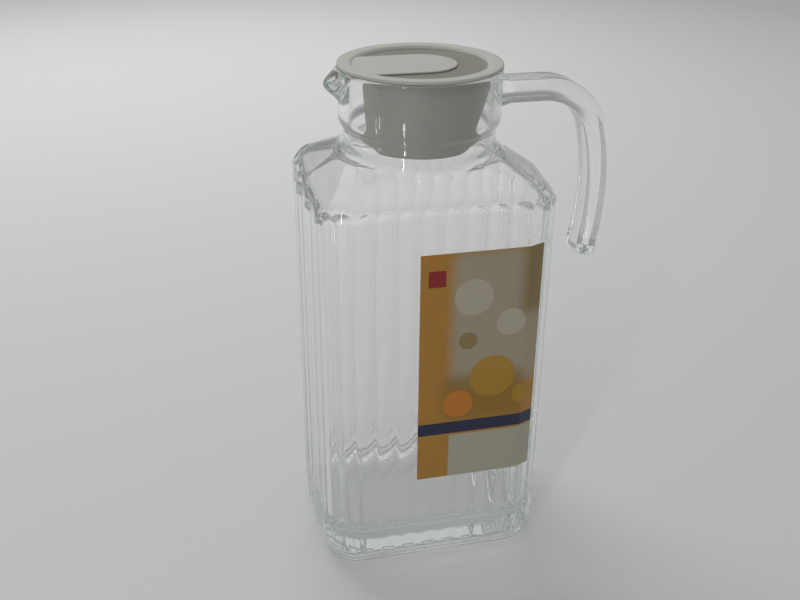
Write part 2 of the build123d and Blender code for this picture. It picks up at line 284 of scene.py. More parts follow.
def moulded_polyethylene(sizes):
    """Injection-moulded grey polyethylene: satin, slightly waxy, with a fine spark grain. Its colour
    holds painted shade: the recessed dish is painted darker than the rim and tongue, and the plug
    under the disc is painted a little darker than the rim."""
    material, tree = new_material("moulded_grey_polyethylene")
    place = add_node(tree, "ShaderNodeTexCoord").outputs["Object"]
    height = add_node(tree, "ShaderNodeSeparateXYZ", {"Vector": place}).outputs["Z"]
    dish, disc_foot = lid_top - sizes.dish_depth, lid_top - sizes.thickness
    # painted shade: the recessed dish takes the darker dish colour, the rim and tongue above it the lighter
    # rim colour
    raised = add_node(tree, "ShaderNodeMapRange", {
        "Value": height, "From Min": dish + 0.3 * MM, "From Max": dish + sizes.tongue_height - 0.1 * MM},
        interpolation_type="SMOOTHSTEP")
    top = add_node(tree, "ShaderNodeMix", {
        "Factor": raised, "A": sizes.dish, "B": sizes.rim}, data_type="RGBA")
    # painted shade: below the disc the plug takes its darker colour
    under = add_node(tree, MATH, (height, disc_foot - 0.1 * MM), operation="LESS_THAN")
    shaded_tone = ink(tree, top, under, sizes.plug)
    grain = add_node(tree, "ShaderNodeTexNoise", {"Vector": place, "Scale": 1 / sizes.grain, "Detail": 2.0})
    bump = add_node(tree, "ShaderNodeBump", {"Height": grain, "Strength": 0.5, "Distance": 0.01 * MM})
    cloud = add_node(tree, "ShaderNodeTexNoise", {"Vector": place, "Scale": 1 / sizes.cloud, "Detail": 1.0})
    gloss = add_node(tree, "ShaderNodeMapRange", {"Value": cloud, "To Min": 0.38, "To Max": 0.5})
    shader = add_node(tree, "ShaderNodeBsdfPrincipled", {
        "Base Color": shaded_tone, "Roughness": gloss, "Normal": bump,
        "IOR": 1.51, "Subsurface Weight": 0.15, "Subsurface Scale": 1.5 * MM})
    add_node(tree, "ShaderNodeOutputMaterial", (shader,))
    return material


PRINT = "print_mm"     # the film's own map: millimetres from its lower left corner


def patch(tree, where, middle, half, corner, edge):
    """A mask in millimetres on the film: 1 in a round-cornered box, fading over edge to 0."""
    inner, none, far = (half[0] - corner, half[1] - corner, 1), (0, 0, 0), where
    for step, by in (("SUBTRACT", (*middle, 0)), ("ABSOLUTE", none), ("SUBTRACT", inner),
                     ("MAXIMUM", none), ("LENGTH", none)):
        far = add_node(tree, VECTOR_MATH, (far, by), operation=step)
    return add_node(tree, "ShaderNodeMapRange", {
        "Value": far, "From Min": corner + edge / 2, "From Max": corner - edge / 2},
        interpolation_type="SMOOTHSTEP")


def printed_film(sizes):
    """Offset print on white polypropylene film: flat inks with soft blends between them, under an
    even semi-gloss. The design is a plain one: bands, a panel and a few rounds."""
    material, tree = new_material("offset_printed_polypropylene_film")
    where = add_node(tree, "ShaderNodeUVMap", uv_map=PRINT).outputs["UV"]
    cloud = add_node(tree, "ShaderNodeTexNoise", {"Vector": where, "Scale": 1 / 16, "Detail": 3.0})
    soft = add_node(tree, "ShaderNodeMapRange", {
        "Value": cloud, "From Min": 0.35, "From Max": 0.65}, interpolation_type="SMOOTHSTEP")
    ground = add_node(tree, "ShaderNodeRGB")
    ground.outputs[0].default_value = sizes.ground
    inked = ink(tree, ground, soft, sizes.amber, 0.25)
    # each patch's middle, half size, corner radius and soft edge in millimetres, ink and strength
    for middle, half, corner, edge, code, strength in (
            ((39, 88), (23, 36), 6, 9, sizes.pale, 0.92),
            ((56, 110), (6, 20), 4, 9, sizes.olive, 0.9),
            ((33, 46), (21, 13), 5, 9, sizes.umber, 0.75),
            ((40, 12.5), (24, 12.5), 0.6, 1.0, sizes.panel, 1.0),
            ((26, 101), (9.5, 9.5), 9.5, 0.6, sizes.mist, 0.55),
            ((45, 86), (7.2, 7.2), 7.2, 0.6, sizes.mist, 0.55),
            ((24, 78), (4.6, 4.6), 4.6, 0.6, sizes.olive, 0.8),
            ((37, 57), (11.5, 11.5), 11.5, 0.6, sizes.honey, 0.95),
            ((53, 45), (5.4, 5.4), 5.4, 0.6, sizes.honey, 0.9),
            ((20, 43), (7.6, 7.6), 7.6, 0.6, sizes.amber, 0.9),
            ((31, 29.5), (31, 3.4), 0.2, 0.4, sizes.navy, 1.0),
            ((8, 112), (4.2, 4.2), 0.5, 0.4, sizes.crimson, 1.0)):
        mask = patch(tree, where, middle, half, corner, edge)
        inked = ink(tree, inked, mask, code, strength)
    facing = add_node(tree, "ShaderNodeTexCoord").outputs["Normal"]
    inward = add_node(tree, "ShaderNodeSeparateXYZ", {"Vector": facing}).outputs["Y"]
    glued_side = add_node(tree, MATH, (inward, 0.3), operation="GREATER_THAN")
    inked = ink(tree, inked, glued_side, sizes.back)
    grain = add_node(tree, "ShaderNodeTexNoise", {"Vector": where, "Scale": 1 / 5, "Detail": 2.0})
    bump = add_node(tree, "ShaderNodeBump", {"Height": grain, "Strength": 0.5, "Distance": 0.02 * MM})
    gloss = add_node(tree, "ShaderNodeMapRange", {"Value": cloud, "To Min": 0.3, "To Max": 0.4})
    shader = add_node(tree, "ShaderNodeBsdfPrincipled", {
        "Base Color": inked, "Roughness": gloss, "Normal": bump, "IOR": 1.49})
    add_node(tree, "ShaderNodeOutputMaterial", (shader,))
    return material


def backdrop_paper(sizes):
    """Matt white background paper: an even, dull grey white with a fibre of about a millimetre."""
    material, tree = new_material("matt_backdrop_paper")
    fibres_per_metre = 900.0
    fibre = add_node(tree, "ShaderNodeTexNoise", {
        "Vector": add_node(tree, "ShaderNodeTexCoord").outputs["Object"],
        "Scale": fibres_per_metre, "Detail": 3.0})
    bump = add_node(tree, "ShaderNodeBump", {"Height": fibre, "Strength": 0.2, "Distance": 0.2 * MM})
    shader = add_node(tree, "ShaderNodeBsdfPrincipled", {
        "Normal": bump, "Base Color": sizes.paper, "Roughness": 0.9})
    add_node(tree, "ShaderNodeOutputMaterial", (shader,))
    return material


def paper_bowl(sizes):
    """A round sweep of paper: a flat floor, a cove and a low wall."""
    floor_reach, cove, wall_height, turns, bends = 1.7, 0.9, 1.5, 96, 16
    angles = [k * pi / 2 / bends for k in range(1, bends + 1)]
    profile = [(floor_reach, 0.0)]
    profile += [(floor_reach + cove * sin(a), cove - cove * cos(a)) for a in angles]
    profile += [(floor_reach + cove, wall_height)]
    points = [(0.0, 0.0, 0.0)]
    for r, z in profile:
        points += [(r * cos(2 * pi * k / turns), r * sin(2 * pi * k / turns), z) for k in range(turns)]
    faces = [(0, 1 + k, 1 + (k + 1) % turns) for k in range(turns)]
    for ring in range(len(profile) - 1):
        a, b = 1 + ring * turns, 1 + (ring + 1) * turns
        faces += [(a + k, b + k, b + (k + 1) % turns, a + (k + 1) % turns) for k in range(turns)]
    mesh = bpy.data.meshes.new("paper_bowl")
    mesh.from_pydata(points, [], faces)
    mesh.shade_smooth()
    mesh.materials.append(backdrop_paper(sizes))
    bowl = bpy.data.objects.new("paper_bowl", mesh)
    return bowl


def softbox(name, watts, size, place, seen):
    """A rectangular lamp at place that faces the middle of the jug. The glass mirrors it if seen."""
    lamp = bpy.data.lights.new(name, "AREA")
    lamp.shape, lamp.energy, lamp.size, lamp.size_y = "RECTANGLE", watts, *size
    box = bpy.data.objects.new(name, lamp)
    box.location = place
    aim = Vector((0, 0, 0.12)) - Vector(place)
    box.rotation_euler = aim.to_track_quat("-Z", "Y").to_euler()
    box.visible_glossy = box.visible_transmission = seen
    bpy.context.scene.collection.objects.link(box)


def room_light(sizes):
    """The room: one strength as a light, another as it is seen, mirrored or through the glass."""
    world = bpy.data.worlds.new("room")
    world.use_nodes = True
    tree = world.node_tree
    path = add_node(tree, "ShaderNodeLightPath").outputs
    through = add_node(tree, MATH, (path["Is Glossy Ray"], path["Is Transmission Ray"]), operation="MAXIMUM")
    seen = add_node(tree, MATH, (path["Is Camera Ray"], through), operation="MAXIMUM")
    strength = add_node(tree, MATH, (seen, sizes.room - sizes.sky, sizes.sky), operation="MULTIPLY_ADD")
    background = tree.nodes["Background"]
    background.inputs["Color"].default_value = sizes.air
    tree.links.new(strength.outputs[0], background.inputs["Strength"])
    return world


# name, watts, width and height, place: thin strips, for the upright highlights on shoulder and neck
STRIPS = (("strip_softbox", 2.5, (0.02, 1.5), (-0.62, -0.86, 0.85)),
          ("low_strip_near", 0.06, (0.0094, 0.08), (-0.303, -0.442, 0.04)),
          ("low_strip_left", 0.02, (0.0094, 0.085), (-0.509, -0.151, 0.0425)))
CAMERA_PLACE = (-0.11188, -0.43936, 0.35931)
CAMERA_HEADING, CAMERA_DIP, CAMERA_TILT = radians(-13.21), radians(27.07), radians(0.43)
LENS, SENSOR_WIDTH = 44.05, 36.0        # millimetres


class JUG_OT_stage(bpy.types.Operator):
    """Sets up paper bowl, softboxes, room light and camera"""
    bl_idname = "jug.stage"
    bl_label = "Stage"

    def execute(self, context):
        scene, sizes = context.scene, context.scene.jug_stage
        scene.view_settings.view_transform = "Standard"
        for kind in ("max_bounces", "glossy_bounces", "transmission_bounces"):
            setattr(scene.cycles, kind, BOUNCES)
        scene.collection.objects.link(paper_bowl(sizes))
        softbox("key_softbox", sizes.key_power, (1.3, 0.9), (-0.3, 1.3, 1.3), False)
        for name, watts, size, place in STRIPS:
            softbox(name, watts, size, place, True)
        scene.world = room_light(sizes)
        lens = bpy.data.cameras.new("camera")
        lens.lens, lens.sensor_width = LENS, SENSOR_WIDTH
        camera = bpy.data.objects.new("camera", lens)
        scene.collection.objects.link(camera)
        camera.matrix_world = (
            Matrix.Translation(CAMERA_PLACE) @ Matrix.Rotation(CAMERA_HEADING, 4, "Z")
            @ Matrix.Rotation(pi / 2 - CAMERA_DIP, 4, "X") @ Matrix.Rotation(CAMERA_TILT, 4, "Z"))
        scene.camera = camera
        return {"FINISHED"}


class Plan:
    """The body's plan through the crests of its flutes: a rounded box whose ends lean back from a
    ridge in their middle."""

    def __init__(self, sizes):
        self.radius, self.lean = sizes.corner_radius, sizes.end_lean
        self.tip, self.side = sizes.body_length / 2, sizes.body_width / 2
        self.y = self.side - self.radius
        self.x = self.tip - (self.radius + self.y * sin(self.lean)) / cos(self.lean)
        self.corner_run = self.radius * (pi / 2 - self.lean)
        end_run = (self.y + self.radius * sin(self.lean)) / cos(self.lean)
        self.quarter = self.x + self.corner_run + end_run

    def point(self, s):
        """Plan point and outward direction at length s along the crests, counted from the middle
        of the labelled side towards the handle."""
        turn, q = divmod(s % (4 * self.quarter), self.quarter)
        if turn in (1, 3):
            q = self.quarter - q
        if q <= self.x:
            x, y, out_x, out_y = q, self.side, 0, 1
        elif q <= self.x + self.corner_run:
            a = (q - self.x) / self.radius
            out_x, out_y = sin(a), cos(a)
            x, y = self.x + self.radius * out_x, self.y + self.radius * out_y
        else:
            out_x, out_y = cos(self.lean), sin(self.lean)
            x, y = self.tip - (self.quarter - q) * out_y, (self.quarter - q) * out_x
        flip_x, flip_y = (-1 if turn > 1 else 1), (1 if turn in (1, 2) else -1)
        return Vector((x * flip_x, y * flip_y)), Vector((out_x * flip_x, out_y * flip_y))

    def outside(self, point):
        """How far a plan point lies outside the crests; below zero inside them."""
        x, y = abs(point.x) - self.x, abs(point.y) - self.y
        over_end = x * cos(self.lean) + y * sin(self.lean)
        if x <= 0 or (y <= 0 and over_end <= 0):
            return max(y, over_end) - self.radius if y <= 0 else y - self.radius
        if x * sin(self.lean) >= y * cos(self.lean):
            return over_end - self.radius
        return sqrt(x * x + y * y) - self.radius

    def reach(self, direction, inset):
        """Distance from the axis, in a plan direction, to the plan drawn in by inset."""
        low, high = 0.0, 2 * self.tip
        for halving in range(36):
            middle = (low + high) / 2
            inside = self.outside(direction * middle) < -inset
            low, high = (middle, high) if inside else (low, middle)
        return low


def soft_min(a, b, width):
    """The lower of two heights, with the fold between them rounded over width."""
    over = max(width - abs(a - b), 0)
    return min(a, b) - over * over / (4 * width)


def shoulder_at(sizes, plan, point, inward, softness):
    """Height of the shoulder over a plan point, moved inward by a thickness of glass: steep facets
    over the wide faces, two that meet in a ridge over each end, and a cone at the corners. Softness
    widens the folds between them."""
    x, y = abs(point.x), abs(point.y)
    face_fold, corner_fold, end_fold = 4.0 * MM * softness, 1.0 * MM * softness, 0.6 * MM * softness
    ridge_inset = 0.8 * MM

    def facet(away, slope):
        return sizes.shoulder_height + away * tan(slope) - inward / cos(slope)

    along, across = cos(sizes.end_turn), sin(sizes.end_turn)
    end_reach = (plan.tip - ridge_inset) * along
    ends = soft_min(facet(end_reach - x * along - y * across, sizes.end_slope),
                    facet(end_reach - x * along + y * across, sizes.end_slope), end_fold)
    ends = soft_min(ends, facet(sizes.corner_reach - point.length, sizes.corner_slope), corner_fold)
    return soft_min(ends, facet(plan.side - y, sizes.face_slope), face_fold)


def run(path, end, steps=1):
    """Lengthens a path of (r, z) points in a straight line to end."""
    (r, z), (end_r, end_z) = path[-1], end
    path += [(r + (end_r - r) * k / steps, z + (end_z - z) * k / steps) for k in range(1, steps + 1)]


def turn(path, corner, end, steps):
    """Lengthens a path of (r, z) points to end in a soft turn that leans on corner."""
    start, hold = path[-1], 0.57
    for k in range(1, steps + 1):
        t = k / steps
        a, b, c, d = (1 - t) ** 3, 3 * t * (1 - t) ** 2, 3 * t * t * (1 - t), t ** 3
        path.append(tuple(a * p + b * (p + (m - p) * hold) + c * (q + (m - q) * hold) + d * q
                          for p, m, q in zip(start, corner, end)))


def follow(path, surface, end, steps):
    """Lengthens a path of (r, z) points along a surface, z at each r, as far as r is end."""
    start = path[-1][0]
    path += [(r, surface(r)) for r in [start + (end - start) * k / steps for k in range(1, steps + 1)]]


def edge_hold(surface, r, radius):
    """How far a round of this radius reaches down a wall at r, and inward over the surface there."""
    fall = atan((surface(r - 3 * MM) - surface(r - MM)) / (2 * MM))
    hold = radius * tan((pi / 2 - fall) / 2)
    return hold, hold * cos(fall)


def draw_foot(sizes, edge, foot, ring):
    """A new path over underside, standing ring, foot and heel, and the number of its first point on
    the heel."""
    hollow, head, start_angle, steps = sizes.foot_hollow, sizes.foot_height, 57, 12
    path = [(ring / 2, hollow)]
    run(path, (ring - MM, hollow), 2)
    turn(path, (ring, hollow), (ring + 0.4 * MM, hollow / 2), 3)
    turn(path, (ring + 0.8 * MM, 0), (ring + 1.8 * MM, 0), 3)
    run(path, (foot - 2 * MM, 0), 2)
    turn(path, (foot, 0), (foot, 1.7 * MM), 5)
    run(path, (foot, head - MM), 2)

    def heel_point(degrees):
        inset = sizes.heel * (1 - cos(radians(degrees)))
        return (edge - (edge - foot) * inset / sizes.foot_inset,
                head + sizes.heel * (1 - sin(radians(degrees))))

    turn(path, (foot, head + 0.5 * MM), heel_point(start_angle), 4)
    first = len(path)
    path += [heel_point(start_angle * (1 - k / steps)) for k in range(1, steps + 1)]
    return path, first


def draw_shoulder(path, sizes, roof, edge, neck_foot):
    """Up the wall, round its edge and in over the shoulder. Gives the number of the first point
    that no flute reaches."""
    run(path, (edge, 30 * MM), 6)
    run(path, (edge, sizes.shoulder_height - 14 * MM), 8)
    hold, inner = edge_hold(roof, edge, sizes.shoulder_round)
    run(path, (edge, roof(edge) - hold), 8)
    turn(path, (edge, roof(edge)), (edge - inner, roof(edge - inner)), 16)
    follow(path, roof, neck_foot, 14)
    return len(path) - 8


def draw_neck(path, sizes, roof, neck_foot):
    """Out of the shoulder, up the neck and round the collar's rolled edge."""
    neck, collar = sizes.neck_radius, sizes.collar_radius
    roll_top = sizes.rim_height - sizes.collar_height
    roll_foot = roll_top - sizes.collar_roll
    slope = (roof(neck_foot - MM) - roof(neck_foot + MM)) / (2 * MM)
    meeting = (neck, roof(neck_foot) + slope * (neck_foot - neck))
    turn(path, meeting, (neck, sizes.rim_height - sizes.neck_foot), 12)
    run(path, (neck, roll_foot), 2)
    turn(path, (collar + 0.1 * MM, roll_foot + 0.9 * MM), (collar, roll_top), 8)
    run(path, (collar, sizes.rim_height - sizes.lip_height), 4)


def draw_rim(path, sizes, swell):
    """Up the collar, out along the lip by its share of swell, over the rim and down its channel
    into the bore."""
    collar, bore, rim, soft = sizes.collar_radius, sizes.bore_radius, sizes.rim_height, 1.3 * MM
    lip, top = collar + sizes.lip_reach * swell, rim - sizes.lip_fall * swell
    lip_root = rim - sizes.lip_height
    path += [(collar + (lip - collar) * t * t * (3 - 2 * t), lip_root + (top - soft - lip_root) * t)
             for t in [k / 10 for k in range(1, 11)]]
    turn(path, (lip, top), (lip - soft, top), 5)
    brink = bore + sizes.channel_cut * swell
    low = rim - 2.5 * MM - sizes.channel_depth * swell
    run(path, (brink + soft, top), 2)
    turn(path, (brink, top), (brink - 0.9 * MM * swell, top - soft), 5)
    turn(path, (bore + 5 * MM * swell, low + 2.2 * MM * swell),
         (bore + 1.5 * MM * swell, low + 1.2 * MM * swell), 5)
    turn(path, (bore, low + 0.2 * MM * swell), (bore, low - 1.5 * MM), 4)


def draw_inside(path, sizes, plan, direction, ceiling):
    """Down the bore, out under the shoulder, down the wall and over the floor."""
    bore, bell, floor = sizes.bore_radius, 2.4 * MM, sizes.floor_height
    run(path, (bore, ceiling(bore) + bell), 8)
    turn(path, (bore, ceiling(bore)), (bore + bell, ceiling(bore + bell)), 6)
    face = plan.reach(direction, sizes.wall)
    hold, inner = edge_hold(ceiling, face, sizes.wall_to_shoulder)
    follow(path, ceiling, face - inner, 8)
    turn(path, (face, ceiling(face)), (face, ceiling(face) - hold), 10)
    run(path, (face, floor + sizes.wall_to_floor), 10)
    flat = plan.reach(direction, sizes.wall + sizes.wall_to_floor)
    turn(path, (face, floor), (flat, floor), 16)
    run(path, (flat / 2, floor), 3)


def glass_outline(sizes, plan, direction):
    """The glass in one upright half-plane, as (r, z) points from the underside out and up to the rim,
    and down inside to the floor. Also gives the range of those points that a flute can touch."""
    def roof(r):
        return shoulder_at(sizes, plan, direction * r, 0, 1)

    def ceiling(r):
        return shoulder_at(sizes, plan, direction * r, sizes.wall, 1.3)

    edge, foot = plan.reach(direction, 0), plan.reach(direction, sizes.foot_inset)
    neck_foot = sizes.neck_radius + 6.4 * MM
    off_lip = abs(atan2(direction.y, -direction.x)) / sizes.lip_spread
    path, first = draw_foot(sizes, edge, foot, plan.reach(direction, sizes.foot_inset + sizes.foot_ring))
    last = draw_shoulder(path, sizes, roof, edge, neck_foot)
    draw_neck(path, sizes, roof, neck_foot)
    draw_rim(path, sizes, cos(min(off_lip, 1) * pi / 2) ** 2)
    draw_inside(path, sizes, plan, direction, ceiling)
    return path, range(first, last)


def lathe(name, outlines, directions):
    """A closed mesh through outlines, one for each plan direction: a pole, a ring for each of their
    points, and another pole."""
    turns, rings = len(directions), len(outlines[0])
    points = [(0, 0, outlines[0][0][1])]
    points += [(d.x * o[ring][0], d.y * o[ring][0], o[ring][1])
               for ring in range(rings) for d, o in zip(directions, outlines)]
    points.append((0, 0, outlines[0][-1][1]))
    faces = [(0, 1 + (k + 1) % turns, 1 + k) for k in range(turns)]
    for ring in range(rings - 1):
        a, b = 1 + ring * turns, 1 + (ring + 1) * turns
        faces += [(a + k, a + (k + 1) % turns, b + (k + 1) % turns, b + k) for k in range(turns)]
    top = 1 + (rings - 1) * turns
    faces += [(top + k, top + (k + 1) % turns, len(points) - 1) for k in range(turns)]
    mesh = bpy.data.meshes.new(name)
    mesh.from_pydata(points, [], faces)
    return mesh


def crest_stations(sizes, plan):
    """Lengths along the plan at which the flutes meet: at even pitch, then two broad flutes up to
    each end ridge."""
    narrow = [k * sizes.flute_pitch for k in range(7)]
    quarter = narrow + [(narrow[-1] + plan.quarter) / 2, plan.quarter]
    half = quarter + [2 * plan.quarter - s for s in reversed(quarter[:-1])]
    return half + [2 * plan.quarter + s for s in half[1:]]


COLUMN_SHARES = (-1.0, -0.913, -0.8, -0.6, -0.33, 0.0, 0.33, 0.6, 0.8, 0.913)   # of half a flute
UNTOUCHED = 1.0        # metres: an inset that no flute reaches


def glass_blank(sizes, plan):
    """The jug before its flutes: one closed skin in upright strips. Its points store the share across
    the flute, whether it is a broad one, the inset from the crests, and the way inward."""
    stations = crest_stations(sizes, plan)
    across, broad, directions, inward = [], [], [], []
    for left, right in zip(stations, stations[1:]):
        for share in COLUMN_SHARES:
            place, outward = plan.point((left + right) / 2 + share * (right - left) / 2)
            across.append(share)
            broad.append(float(right - left > 1.05 * sizes.flute_pitch))
            directions.append(place.normalized())
            inward += [-outward.x, -outward.y, 0]
    outlines = [glass_outline(sizes, plan, direction) for direction in directions]
    fluted = outlines[0][1]
    paths = [path for path, touched in outlines]
    mesh = lathe("glass_blank", paths, directions)
    rings = len(paths[0])
    inset = [UNTOUCHED]
    for ring in range(rings):
        inset += [max(-plan.outside(direction * path[ring][0]), 0) if ring in fluted else UNTOUCHED
                  for direction, path in zip(directions, paths)]
    for name, values in (("across", [0.0] + across * rings + [0.0]),
                         ("broad", [0.0] + broad * rings + [0.0]), ("inset", inset + [UNTOUCHED])):
        mesh.attributes.new(name, "FLOAT", "POINT").data.foreach_set("value", values)
    pole = [0.0] * 3
    mesh.attributes.new("inward", "FLOAT_VECTOR", "POINT").data.foreach_set(
        "vector", pole + inward * rings + pole)
    return mesh


def new_tree(name, inputs):
    """A geometry tree with these inputs, names for each kind of socket, and what they give."""
    tree = bpy.data.node_groups.new(name, "GeometryNodeTree")
    tree.interface.new_socket("Geometry", in_out="INPUT", socket_type="NodeSocketGeometry")
    for kind, labels in inputs.items():
        for label in labels:
            tree.interface.new_socket(label, in_out="INPUT", socket_type="NodeSocket" + kind)
    tree.interface.new_socket("Geometry", in_out="OUTPUT", socket_type="NodeSocketGeometry")
    return tree, add_node(tree, "NodeGroupInput").outputs


def close_tree(tree, geometry, material):
    """Ends a geometry tree: real geometry, then its material."""
    real = add_node(tree, "GeometryNodeRealizeInstances", {"Geometry": geometry})
    dressed = add_node(tree, "GeometryNodeSetMaterial", {"Geometry": real, "Material": material})
    add_node(tree, "NodeGroupOutput", (dressed,))


def made_by(tree, mesh, name, values):
    """A plain mesh object: what the tree makes of mesh with these values for its inputs."""
    source = bpy.data.objects.new(name + "_source", mesh)
    bpy.context.scene.collection.objects.link(source)
    modifier = source.modifiers.new(tree.name, "NODES")
    modifier.node_group = tree
    for item in tree.interface.items_tree:
        if item.item_type == "SOCKET" and item.in_out == "INPUT" and item.name in values:
            modifier[item.identifier] = values[item.name]
    bpy.context.view_layer.update()
    made = bpy.data.meshes.new_from_object(source.evaluated_get(bpy.context.evaluated_depsgraph_get()))
    bpy.data.objects.remove(source)
    made.name = name
    piece = bpy.data.objects.new(name, made)
    bpy.context.scene.collection.objects.link(piece)
    return piece


def flute_tree():
    """Presses the flutes: a point sinks to the depth of its flute there. Where heel and shoulder are
    already deeper it stays, so that the flutes run out in arches."""
    tree, given = new_tree("flutes", {
        "Float": ("Flute depth", "Broad flute depth", "Crest share", "Run-out"), "Material": ("Material",)})
    across, broad, inset, inward = (
        add_node(tree, "GeometryNodeInputNamedAttribute", {"Name": name}, data_type=kind) for name, kind in (
            ("across", "FLOAT"), ("broad", "FLOAT"), ("inset", "FLOAT"), ("inward", "FLOAT_VECTOR")))
    narrow_depth = given["Flute depth"]
    span = add_node(tree, MATH, (1, given["Crest share"]), operation="SUBTRACT")
    place = add_node(tree, MATH, (across, span), operation="DIVIDE")
    square = add_node(tree, MATH, (place, place), operation="MULTIPLY")
    bowl = add_node(tree, MATH, (1, square), operation="SUBTRACT")
    share = add_node(tree, MATH, (bowl, 0), operation="MAXIMUM")
    extra = add_node(tree, MATH, (given["Broad flute depth"], narrow_depth), operation="SUBTRACT")
    more = add_node(tree, MATH, (extra, broad), operation="MULTIPLY")
    depth = add_node(tree, MATH, (narrow_depth, more), operation="ADD")
    deep = add_node(tree, MATH, (share, depth), operation="MULTIPLY")
    short = add_node(tree, MATH, (deep, inset), operation="SUBTRACT")
    sink = add_node(tree, MATH, (short, 0, given["Run-out"]), operation="SMOOTH_MAX")
    push = add_node(tree, VECTOR_MATH, {0: inward, "Scale": sink}, operation="SCALE")
    pressed = add_node(tree, "GeometryNodeSetPosition", {"Geometry": given["Geometry"], "Offset": push})
    close_tree(tree, pressed, given["Material"])
    return tree


class JUG_OT_glass(bpy.types.Operator):
    """Presses the fluted body, and gives it and the handle their glass"""
    bl_idname = "jug.glass"
    bl_label = "Glass"

    def execute(self, context):
        sizes = context.scene.jug_body
        glass = soda_lime_glass(context.scene.jug_glass)
        body = made_by(flute_tree(), glass_blank(sizes, Plan(sizes)), "fluted_body", {
            "Flute depth": sizes.flute_depth, "Broad flute depth": sizes.broad_flute_depth,
            "Crest share": sizes.crest_width / sizes.flute_pitch, "Run-out": sizes.run_out,
            "Material": glass})
        for name in ("across", "broad", "inset", "inward"):
            body.data.attributes.remove(body.data.attributes[name])
        body.data.shade_smooth()
        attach(body, "jug")
        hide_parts("jug_body")
        dress("handle", glass)
        return {"FINISHED"}


def draw_disc(sizes, top, base, dish):
    """A new path over the lid's dish and rim and in under the disc to the plug."""
    rim, edge, slope_head = sizes.radius, sizes.edge, sizes.dish_radius
    slope_foot = slope_head - sizes.dish_slope
    path = [(slope_foot / 3, dish)]
    run(path, (slope_foot - 1.2 * MM, dish), 3)
    turn(path, (slope_foot, dish), (slope_foot + 0.9 * MM, dish + 0.55 * MM), 5)
    run(path, (slope_head - 0.8 * MM, top - 0.45 * MM), 2)
    turn(path, (slope_head - 0.2 * MM, top), (slope_head + 0.7 * MM, top), 5)
    run(path, (rim - edge, top), 2)
    turn(path, (rim, top), (rim, top - edge), 5)
    turn(path, (rim, base), (rim - 0.5 * MM, base), 4)
    run(path, (sizes.plug_radius + 0.4 * MM, base), 2)
    return path


def lid_outline(sizes, top, direction):
    """The lid in one upright half-plane, as (r, z) points out over the dish and the rim, down the
    plug and up inside it."""
    base, dish, full, wall = top - sizes.thickness, top - sizes.dish_depth, sizes.plug_radius, sizes.wall
    ceiling, low = dish - wall, base - sizes.plug_length
    pour = Vector((-cos(sizes.turned), -sin(sizes.turned)))
    facing = max(direction.dot(pour), 0.01)

    def plug(level, inward):
        down = (base - level - sizes.plug_straight) / (sizes.plug_length - sizes.plug_straight)
        r = full + (sizes.plug_end_radius - full) * max(down, 0)
        over_head = max(level - base + sizes.pour_head, 0)
        return min(r, (sizes.pour_flat + sizes.pour_flare * over_head) / facing) - inward

    path = draw_disc(sizes, top, base, dish)
    turn(path, (full, base), (full, base - 0.5 * MM), 3)
    bead_top = base - sizes.bead_drop
    bead_foot = bead_top - sizes.bead_width
    run(path, (full, bead_top))
    turn(path, (full + sizes.bead_height, (bead_top + bead_foot) / 2), (full, bead_foot), 6)
    head, foot = bead_foot - 0.2 * MM, low + sizes.plug_round
    path += [(plug(z, 0), z) for z in [head + (foot - head) * k / 30 for k in range(31)]]
    end, soft = plug(low, 0), 0.9 * MM
    turn(path, (end, low), (end - sizes.plug_round, low), 6)
    inner = end - wall - soft
    run(path, (inner, low))
    turn(path, (inner, low), (inner, low + soft), 3)
    head = ceiling - 0.8 * MM
    path += [(plug(z, wall), z) for z in [foot + (head - foot) * k / 24 for k in range(25)]]
    turn(path, (path[-1][0], ceiling), (path[-1][0] - 0.8 * MM, ceiling), 4)
    run(path, (full / 3, ceiling), 3)
    return path


def tongue_shell(sizes, top):
    """Points and faces of the tongue, a closed shell with a rounded upper edge: a half-round end about
    the axis, two straight sides and an end that follows the dish."""
    half, reach = sizes.tongue_width / 2, sizes.dish_radius - 1.0 * MM
    plan = [Vector((half * cos(a), half * sin(a))) for a in [pi * (k / 48 - 0.5) for k in range(49)]]
    far = atan2(half, -sqrt(reach * reach - half * half))
    plan += [Vector((reach * cos(far + t), reach * sin(far + t)))
             for t in [2 * (pi - far) * k / 16 for k in range(17)]]
    count = len(plan)
    inward = []
    for k in range(count):
        along = (plan[(k + 1) % count] - plan[k - 1]).normalized()
        inward.append(Vector((-along.y, along.x)))
    dish, soft = top - sizes.dish_depth, sizes.tongue_edge
    high, low = dish + sizes.tongue_height, dish - 0.6 * MM
    levels = [(0.0, low), (0.0, high - soft)] + [
        (soft * (1 - cos(a)), high - soft * (1 - sin(a))) for a in [radians(18 * k) for k in range(1, 6)]]
    points = [(*(place + side * inset), z) for inset, z in levels for place, side in zip(plan, inward)]
    faces = []
    for level in range(len(levels) - 1):
        a, b = level * count, (level + 1) * count
        faces += [(a + k, a + (k + 1) % count, b + (k + 1) % count, b + k) for k in range(count)]
    faces += [tuple(range(count - 1, -1, -1)), tuple(range(len(points) - count, len(points)))]
    return points, faces


